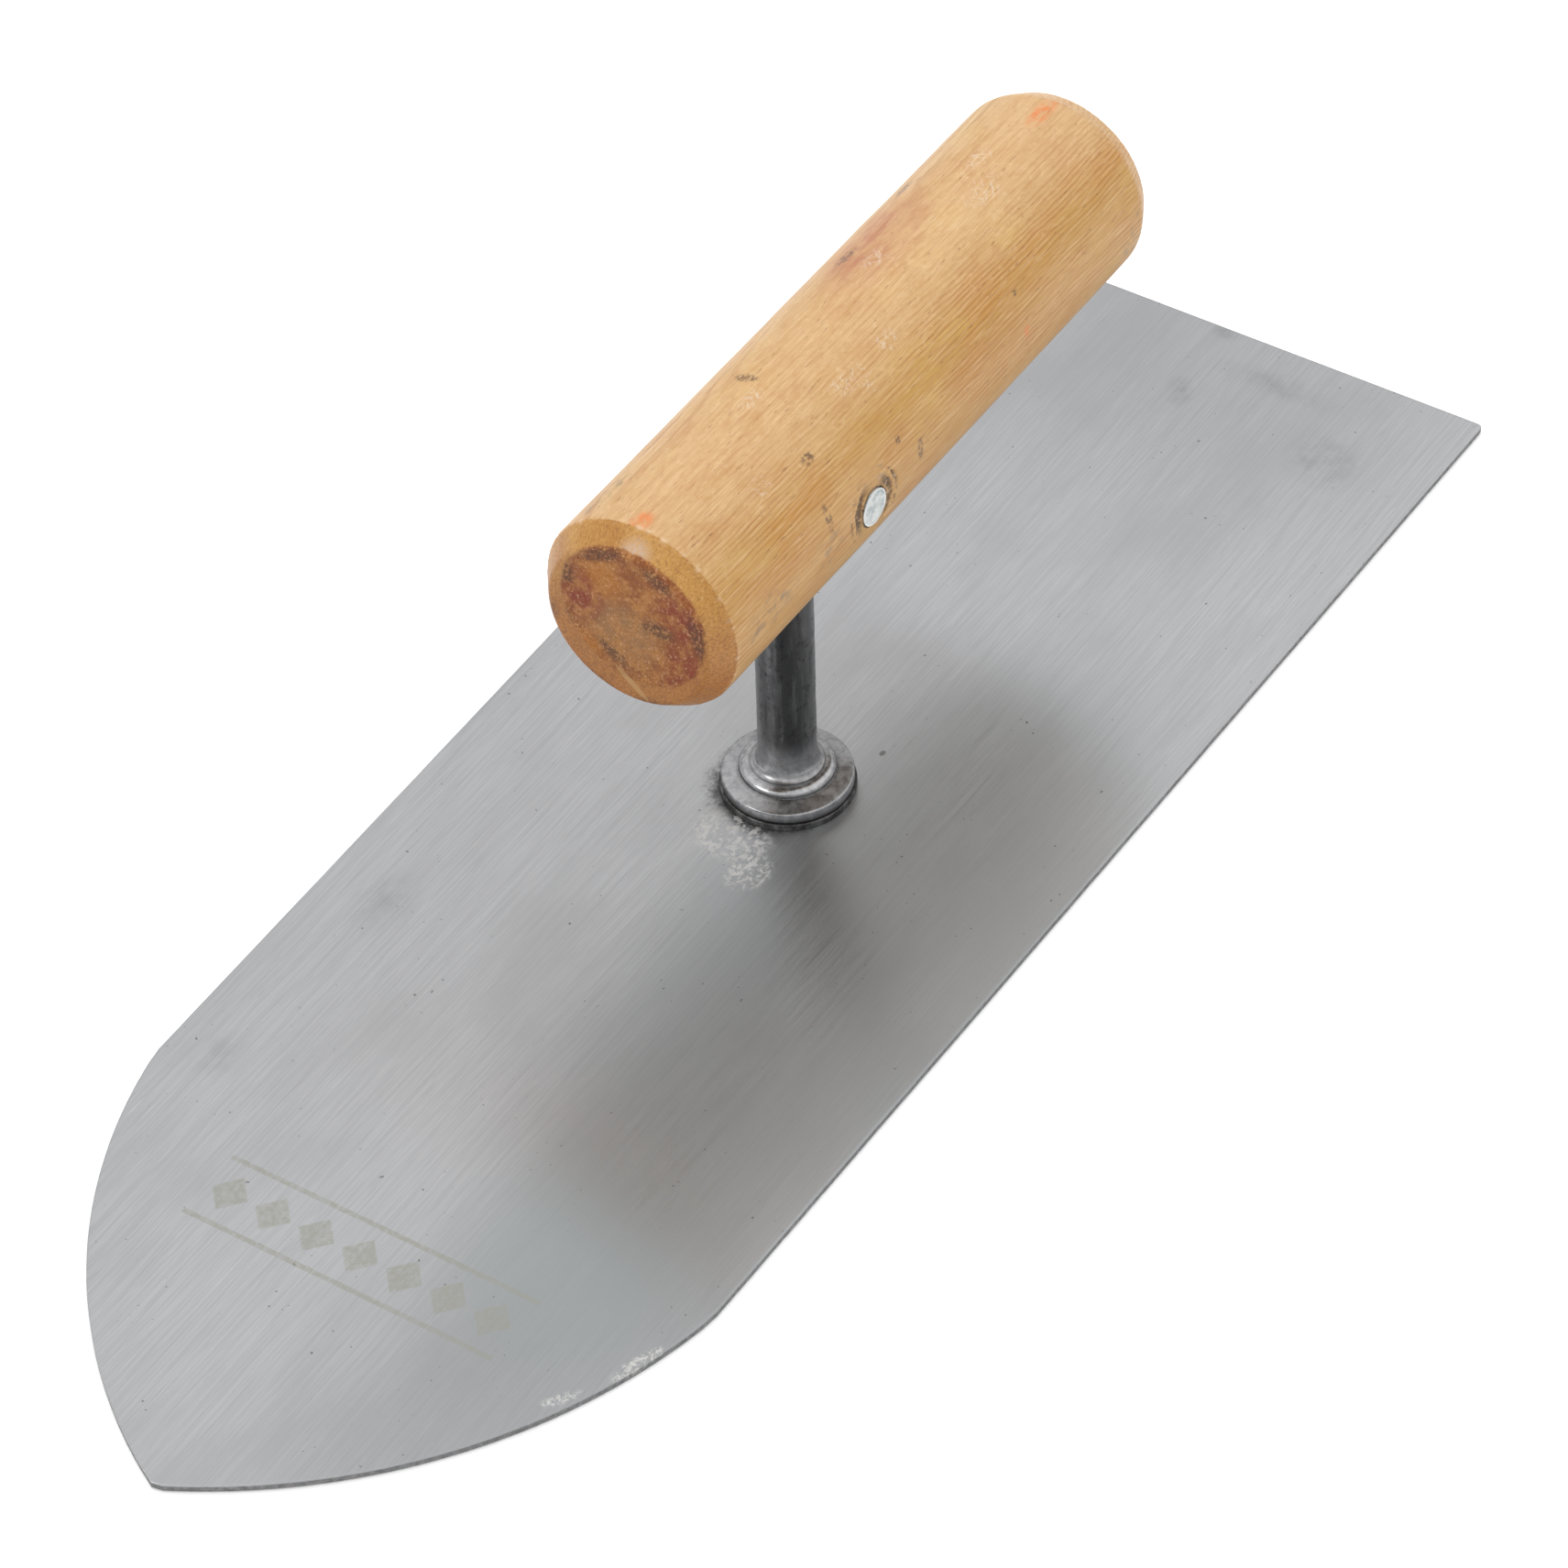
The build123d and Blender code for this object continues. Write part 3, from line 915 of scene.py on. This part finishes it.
def grown_wood(f, patch, figure, fibre):
    """Clear varnished wood: fine rings, mottled figure, small pores; painted light on top, painted shade
    lower.
    """
    broad = f.noise(17 * mm, (2.0, 1, 1), roughness=0.55, seed=1)
    yellow = f.noise(11 * mm, (1.5, 1, 1), seed=61)
    swirl = f.noise(1.5 * mm, (1.8, 1, 1), detail=3, seed=17, warp=1.6)
    thread = f.noise(0.24 * mm, (24, 1, 1), detail=2, roughness=0.5, seed=3)
    pores = f.noise(0.34 * mm, (7, 1, 1), detail=2, seed=8)
    height = f.math("SUBTRACT", f.axis("Z"), grip_axis_z)

    wood = f.mix(f.scale(broad, 0.35, 0.66), (0.555, 0.315, 0.085), (0.625, 0.380, 0.145))
    wood = f.mix(f.scale(patch, 0.46, 0.66, 0, 0.65), wood, (0.55, 0.26, 0.055))
    wood = f.mix(f.scale(yellow, 0.5, 0.72, 0, 0.7), wood, (0.63, 0.40, 0.085))
    # Painted light: the top of the grip lighter
    painted_light_top = f.scale(height, 9 * mm, grip_radius, 0, 0.6)
    wood = f.mix(painted_light_top, wood, (0.68, 0.450, 0.255))
    # Painted shade: the grip darker lower down its sides
    painted_shade_side = f.scale(height, 12 * mm, 3 * mm, 0, 0.4)
    wood = f.mix(painted_shade_side, wood, (0.50, 0.245, 0.060))

    pith = (-26 * mm, grip_axis_z + 54 * mm)
    rings = f.rings(pith, 0.72 * mm, (broad, 3 * mm), (patch, 0.8 * mm), (figure, 0.16 * mm))
    clear = f.times(f.scale(patch, 0.35, 0.6, 0.25, 1), f.scale(fibre, 0.32, 0.55, 0.35, 1))
    side = f.scale(height, grip_radius, 11 * mm, 0.25, 0.75)
    wood = f.mix(f.times(f.scale(rings, 0.55, 1.0), f.times(clear, side)), wood, (0.42, 0.180, 0.045))

    upper = f.scale(height, 8 * mm, 14 * mm, 0.1, 0.32)
    wood = f.mix(f.times(f.scale(swirl, 0.48, 0.66), upper), wood, (0.52, 0.27, 0.12))
    wood = f.mix(f.times(f.scale(swirl, 0.44, 0.28), upper), wood, (0.80, 0.58, 0.34))
    wood = f.mix(f.scale(figure, 0.50, 0.68, 0, 0.30), wood, (0.50, 0.24, 0.07))
    wood = f.mix(f.scale(fibre, 0.5, 0.75, 0, 0.35), wood, (0.46, 0.22, 0.07))
    wood = f.mix(f.scale(thread, 0.5, 0.72, 0, 0.35), wood, (0.82, 0.58, 0.34))
    return f.mix(f.scale(pores, 0.64, 0.74, 0, 0.6), wood, (0.22, 0.09, 0.035))


def grip_spot(f, x, degrees, length, width, height, turn=0.0):
    """A soft patch on the grip's side, that many degrees from its top towards +Y."""
    centre = tuple(lengthwise(grip_radius, math.radians(degrees), x))
    return f.spot(centre, (length, width, height), (0, 0, turn))


def spotted_wood(f, wood, patch, figure, smear):
    """The wood with its knot, orange dots, scuffs, soot and grime, and painted shade underneath."""
    knot = grip_spot(f, -51 * mm, -22, 16 * mm, 8 * mm, 8 * mm, 0.1)
    wood = f.mix(f.times(f.worn(knot, figure, 0.3), 0.85), wood, (0.47, 0.19, 0.105))
    orange = f.most(
        grip_spot(f, -88 * mm, 0.5, 5.5 * mm, 1.9 * mm, 2 * mm),
        grip_spot(f, 18 * mm, -1, 2.8 * mm, 2.0 * mm, 2 * mm),
        grip_spot(f, -58 * mm, 82, 1.2 * mm, 1.0 * mm, 1.2 * mm),
    )
    wood = f.mix(f.times(f.worn(orange, smear, 0.15), 0.8), wood, (0.76, 0.18, 0.035))
    wood = sooty(f, scuffed(f, wood))
    grime = f.most(
        grip_spot(f, -4.5 * mm, 86, 5 * mm, 2 * mm, 4 * mm),
        grip_spot(f, 11 * mm, 86, 9 * mm, 2 * mm, 3.6 * mm),
        grip_spot(f, -90 * mm, 97, 6 * mm, 3 * mm, 6 * mm),
        grip_spot(f, 13 * mm, -38, 7 * mm, 3 * mm, 3 * mm),
    )
    grime = f.times(f.scale(grime, 0.0, 0.6), f.scale(smear, 0.45, 0.68))
    wood = f.mix(f.times(grime, 0.6), wood, (0.22, 0.155, 0.09))
    # Painted shade: the grip's underside darkened
    painted_shade_under = f.scale(f.axis("Z"), grip_axis_z - 5 * mm, grip_axis_z - 12 * mm)
    painted_shade_under = f.times(painted_shade_under, f.scale(patch, 0.3, 0.7, 0.75, 0.95))
    return f.mix(painted_shade_under, wood, (0.085, 0.072, 0.058))


def scuffed(f, wood):
    """The wood with pale scratches that cross in a few places on its upper side."""
    scratch = f.noise(0.30 * mm, (9, 1, 1), detail=2, roughness=0.5, seed=19, turn=(0, 0, 0.75))
    hatch = f.noise(0.30 * mm, (7, 1, 1), detail=2, roughness=0.5, seed=20, turn=(0, 0, -0.9))
    where = f.most(
        grip_spot(f, -11.5 * mm, -5, 3.4 * mm, 2 * mm, 2 * mm),
        grip_spot(f, -25.5 * mm, 31, 2.2 * mm, 4.0 * mm, 3 * mm),
        grip_spot(f, -22 * mm, 26, 3.2 * mm, 2.2 * mm, 2 * mm),
        grip_spot(f, -33.5 * mm, 27, 3.2 * mm, 2.2 * mm, 2 * mm),
        grip_spot(f, 1.5 * mm, 32, 3 * mm, 2 * mm, 2 * mm),
        grip_spot(f, -68 * mm, 8, 5.5 * mm, 3 * mm, 2 * mm),
        grip_spot(f, -74 * mm, -8, 3.5 * mm, 2.4 * mm, 2 * mm),
        grip_spot(f, -47 * mm, -12, 3.5 * mm, 2.4 * mm, 2 * mm),
    )
    marks = f.most(f.scale(scratch, 0.56, 0.66), f.scale(hatch, 0.58, 0.68))
    marks = f.times(marks, f.scale(where, 0.0, 0.6))
    return f.mix(f.times(marks, 0.42), wood, (0.78, 0.68, 0.58))


def sooty(f, wood):
    """The wood with small black dents and smears."""
    grit = f.noise(0.55 * mm, (1.5, 1, 1), roughness=0.65, seed=24)
    soot = f.most(
        grip_spot(f, -15.5 * mm, -18, 1.1 * mm, 2.8 * mm, 2 * mm),
        grip_spot(f, -8 * mm, 39, 1.8 * mm, 1.1 * mm, 1.2 * mm),
        grip_spot(f, -5.5 * mm, 70, 0.9 * mm, 2 * mm, 3.4 * mm),
        grip_spot(f, -28.5 * mm, 84, 0.9 * mm, 1.2 * mm, 2.4 * mm),
        grip_spot(f, -24.2 * mm, 68, 0.9 * mm, 0.9 * mm, 0.9 * mm),
        grip_spot(f, -58 * mm, 58, 0.8 * mm, 0.7 * mm, 0.7 * mm),
        grip_spot(f, -47 * mm, -31, 3.4 * mm, 1.4 * mm, 1.5 * mm),
        grip_spot(f, -66 * mm, -40, 2.8 * mm, 1.2 * mm, 1.5 * mm),
    )
    soot = f.times(f.scale(soot, 0.0, 0.5), f.scale(grit, 0.40, 0.58))
    return f.mix(f.times(soot, 0.8), wood, (0.13, 0.07, 0.04))


def end_spot(f, y, z, width, height, turn=0.0, depth=3 * mm):
    """A soft patch on the grip's front end, measured from its axis, with these half sizes."""
    return f.spot((grip_high.x, y, grip_axis_z + z), (depth, width, height), (turn, 0, 0))


def amber_end(f, patch, hairs):
    """The chamfers' end fibres: amber, redder below, burnt by their rim and rubbed pale above."""
    amber = f.mix(f.scale(patch, 0.35, 0.65), (0.44, 0.195, 0.035), (0.55, 0.285, 0.070))
    amber = f.mix(f.scale(hairs, 0.50, 0.66, 0, 0.6), amber, (0.26, 0.105, 0.035))
    amber = f.mix(f.scale(hairs, 0.42, 0.30, 0, 0.6), amber, (0.70, 0.46, 0.24))
    low_side = f.scale(f.axis("Z"), grip_axis_z + 12 * mm, grip_axis_z - 6 * mm, 0, 0.75)
    redder = f.mix(f.scale(hairs, 0.4, 0.6), (0.44, 0.165, 0.030), (0.29, 0.095, 0.022))
    amber = f.mix(low_side, amber, redder)
    burnt = f.most(
        end_spot(f, -5.5 * mm, -12.9 * mm, 9 * mm, 2.2 * mm, -0.4, depth=9 * mm),
        end_spot(f, 3.5 * mm, -13.2 * mm, 6 * mm, 2.4 * mm, 0.25, depth=9 * mm),
        end_spot(f, -13.2 * mm, -2.5 * mm, 2.4 * mm, 3.2 * mm, depth=9 * mm),
    )
    amber = f.mix(f.times(f.worn(burnt, hairs, 0.3), 0.85), amber, (0.16, 0.060, 0.022))
    pale = end_spot(f, 1.3 * mm, 14.4 * mm, 3.6 * mm, 3.0 * mm, depth=3.5 * mm)
    return f.mix(f.times(f.worn(pale, hairs, 0.3), 0.6), amber, (0.68, 0.58, 0.53))


def end_grain(f, rim):
    """The grip's sawn end: tan in the middle, stained red and brown round it, and pitted."""
    blotch = f.noise(2.4 * mm, detail=5, roughness=0.7, seed=31)
    grit = f.noise(0.40 * mm, detail=3, roughness=0.75, seed=34)
    cut = f.mix(f.scale(blotch, 0.38, 0.62), (0.48, 0.205, 0.055), (0.29, 0.090, 0.022))
    tan = end_spot(f, -0.8 * mm, -1.4 * mm, 9 * mm, 8 * mm, depth=7 * mm)
    cut = f.mix(f.times(f.worn(tan, blotch, 0.3), 0.8), cut, (0.37, 0.205, 0.085))
    gold = f.most(
        end_spot(f, -4 * mm, 7.4 * mm, 4.6 * mm, 5 * mm),
        end_spot(f, -7.5 * mm, -6.5 * mm, 4.5 * mm, 4.5 * mm),
    )
    cut = f.mix(f.times(f.worn(gold, blotch, 0.4), 0.85), cut, (0.48, 0.175, 0.022))
    red = f.most(
        end_spot(f, -7.6 * mm, 2.8 * mm, 5.2 * mm, 6 * mm),
        end_spot(f, 9.0 * mm, 5.5 * mm, 5.4 * mm, 8.5 * mm, 0.5),
        end_spot(f, 8.8 * mm, -4.5 * mm, 5.2 * mm, 8.5 * mm, -0.25),
    )
    cut = f.mix(f.times(f.worn(red, blotch, 0.25), 0.95), cut, (0.26, 0.048, 0.020))
    grime = f.most(
        end_spot(f, -10.2 * mm, 5.8 * mm, 2.2 * mm, 2.8 * mm),
        end_spot(f, 11.8 * mm, 3.0 * mm, 1.9 * mm, 5.5 * mm, 0.3),
        end_spot(f, 5.2 * mm, 1.8 * mm, 3.6 * mm, 2.0 * mm),
        end_spot(f, 5.2 * mm, 10.8 * mm, 3.6 * mm, 1.7 * mm, -0.5),
        end_spot(f, -4.0 * mm, 11.6 * mm, 5.4 * mm, 1.5 * mm, 0.45),
        end_spot(f, -2.6 * mm, -6.0 * mm, 4.2 * mm, 1.3 * mm, -0.6),
        end_spot(f, -11.5 * mm, -2.8 * mm, 3.4 * mm, 1.8 * mm),
        end_spot(f, 0, -12.6 * mm, 7 * mm, 1.6 * mm),
    )
    grime = f.times(f.scale(grime, 0.0, 0.6), f.scale(grit, 0.42, 0.56, 0.15, 1))
    cut = f.mix(f.times(grime, 0.85), cut, (0.085, 0.042, 0.026))
    dark = f.times(f.scale(grit, 0.54, 0.64), f.scale(rim, 0, 1, 0.35, 0.75))
    cut = f.mix(dark, cut, (0.15, 0.050, 0.025))
    return f.mix(f.scale(grit, 0.43, 0.34, 0, 0.65), cut, (0.68, 0.44, 0.26))


# ---------------------------------------------------------------- cross rivet


def crosswise(radius, angle, height):
    """A point round the cross rivet's axis, with the height along +Y."""
    return Vector((post_x + radius * math.sin(angle), height, grip_axis_z + radius * math.cos(angle)))


def build_rivet():
    head_face = rivet_high.y - rivet_rim_height
    head_seat = head_face - rivet_head_thickness
    tail_face = rivet_low.y
    tail_seat = tail_face + rivet_tail_thickness
    hollow_end = tail_face + rivet_hollow_depth
    rim_inner = rivet_radius - rivet_rim_width
    roll = (rivet_hollow_radius + rivet_tail_radius) / 2
    outline = rounded([
        (0, hollow_end, 0),
        (rivet_hollow_radius, hollow_end - 0.6 * mm, 0.3 * mm),
        (rivet_hollow_radius, tail_seat, 0.4 * mm),
        (roll - 0.4 * mm, tail_face, 0.5 * mm),
        (roll + 0.4 * mm, tail_face, 0.5 * mm),
        (rivet_tail_radius, tail_seat, 0.15 * mm),
        (rivet_shank_radius, tail_seat, 0.05 * mm),
        (rivet_shank_radius, head_seat, 0.05 * mm),
        (rivet_radius, head_seat, 0.1 * mm),
        (rivet_radius, rivet_high.y, 0.18 * mm),
        (rim_inner + 0.15 * mm, rivet_high.y, 0.12 * mm),
        (rim_inner, head_face, 0.15 * mm),
        (0, head_face, 0),
    ])

    def relief(at, angle):
        if abs(at.y) < grip_radius - mm:
            return 0.0
        return rivet_dent * min(0.0, rough(at, 1.4 * mm, 41))

    vertices, faces = turned(spaced(outline, rivet_gap), rivet_segments, crosswise, relief)
    dented = []
    for v in vertices:
        if v.y > head_face - rivet_dent:
            v = v + Vector((0, rivet_dent * min(0.0, rough(v, 0.9 * mm, 44)), 0))
        dented.append(v)
    return piece("cross_rivet_body", dented, faces, zinc(), "cross_rivet")


def zinc():
    """Zinc plate with a faint spangle, scratched, and brighter on the head's rim."""
    f = Finish("zinc_plate")
    spangle = f.noise(1.1 * mm, seed=51)
    scratch = f.noise(0.35 * mm, detail=3, seed=53)
    colour = f.mix(f.scale(spangle, 0.36, 0.64), (0.43, 0.475, 0.485), (0.69, 0.71, 0.69))
    colour = f.mix(f.scale(scratch, 0.60, 0.70, 0, 0.5), colour, (0.34, 0.37, 0.38))
    bright_rim = f.scale(f.axis("Y"), rivet_high.y - 0.12 * mm, rivet_high.y - 0.03 * mm)
    colour = f.mix(f.times(bright_rim, 0.5), colour, (0.84, 0.85, 0.85))
    f.set(Base_Color=colour)
    f.set(Metallic=0.8)
    f.set(Roughness=f.scale(spangle, 0.3, 0.7, 0.34, 0.50))
    f.bump(spangle, 0.04 * mm, 0.6)
    f.bump(scratch, 0.02 * mm, 0.6)
    return f.material


# ---------------------------------------------------------------- studio


def floor():
    """White paper just under the sole, with a little light of its own so that it stays white."""
    half = floor_half
    mesh = bpy.data.meshes.new("studio_floor")
    corners = [(-half, -half, 0), (half, -half, 0), (half, half, 0), (-half, half, 0)]
    mesh.from_pydata(corners, [], [(0, 1, 2, 3)])
    sheet = bpy.data.objects.new("studio_floor", mesh)
    sheet.location.z = blade_low.z - floor_drop
    bpy.context.scene.collection.objects.link(sheet)
    paper = Finish("studio_paper")
    paper.set(Base_Color=(0.92, 0.92, 0.92, 1), Roughness=0.9, Specular_IOR_Level=0.1)
    paper.set(Emission_Color=(1, 1, 1, 1), Emission_Strength=0.25)
    mesh.materials.append(paper.material)


def softbox(name, place, size, power, lights=True, mirrored=True):
    """A square area light aimed at the tool, which lights it, is mirrored in it, or both."""
    data = bpy.data.lights.new(name, "AREA")
    data.shape = "SQUARE"
    data.size = size
    data.energy = power
    lamp = bpy.data.objects.new(name, data)
    lamp.location = place
    lamp.visible_diffuse = lights
    lamp.visible_glossy = mirrored
    lamp.rotation_euler = (-Vector(place)).to_track_quat("-Z", "Y").to_euler()
    bpy.context.scene.collection.objects.link(lamp)


def sky():
    """A white tent, bright overhead and darker towards the horizon."""
    world = bpy.data.worlds.new("studio_tent")
    bpy.context.scene.world = world
    world.use_nodes = True
    tree = world.node_tree
    where = tree.nodes.new("ShaderNodeTexCoord").outputs["Generated"]
    height = tree.nodes.new("ShaderNodeSeparateXYZ")
    tree.links.new(where, height.inputs[0])
    ramp = tree.nodes.new("ShaderNodeMapRange")
    ramp.interpolation_type = "SMOOTHSTEP"
    tree.links.new(height.outputs["Z"], ramp.inputs["Value"])
    levels = {"From Min": 0.05, "From Max": 0.65, "To Min": 0.36, "To Max": 0.95}
    for socket, level in levels.items():
        ramp.inputs[socket].default_value = level
    background = tree.nodes["Background"]
    background.inputs["Color"].default_value = (1.0, 1.0, 1.0, 1)
    tree.links.new(ramp.outputs[0], background.inputs["Strength"])


def camera():
    """The photograph's long lens, ahead of the tool, above it and on its +Y side."""
    forward = Vector((
        math.cos(camera_dip) * math.cos(camera_heading),
        math.cos(camera_dip) * math.sin(camera_heading),
        -math.sin(camera_dip),
    ))
    level = forward.cross(Vector((0, 0, 1))).normalized()
    above = level.cross(forward)
    right = level * math.cos(camera_lean) + above * math.sin(camera_lean)
    up = above * math.cos(camera_lean) - level * math.sin(camera_lean)
    data = bpy.data.cameras.new("photo_camera")
    data.lens = lens_length
    data.sensor_width = sensor_width
    data.clip_start = nearest_seen
    made = bpy.data.objects.new("photo_camera", data)
    turn = Matrix((right, up, -forward)).transposed().to_4x4()
    made.matrix_world = Matrix.Translation(camera_place) @ turn
    bpy.context.scene.collection.objects.link(made)
    bpy.context.scene.camera = made


build_blade()
build_washer()
build_post()
build_grip()
build_rivet()
floor()
sky()
softbox("key_softbox", (-0.5, -0.7, 1.6), size=1.2, power=9.5, mirrored=False)
softbox("top_softbox", (0.25, 0.15, 1.5), size=0.5, power=3, mirrored=False)
softbox("edge_softbox", (1.0, -0.6, 0.86), size=0.45, power=2.4, lights=False)
camera()
bpy.context.scene.view_settings.view_transform = "Standard"
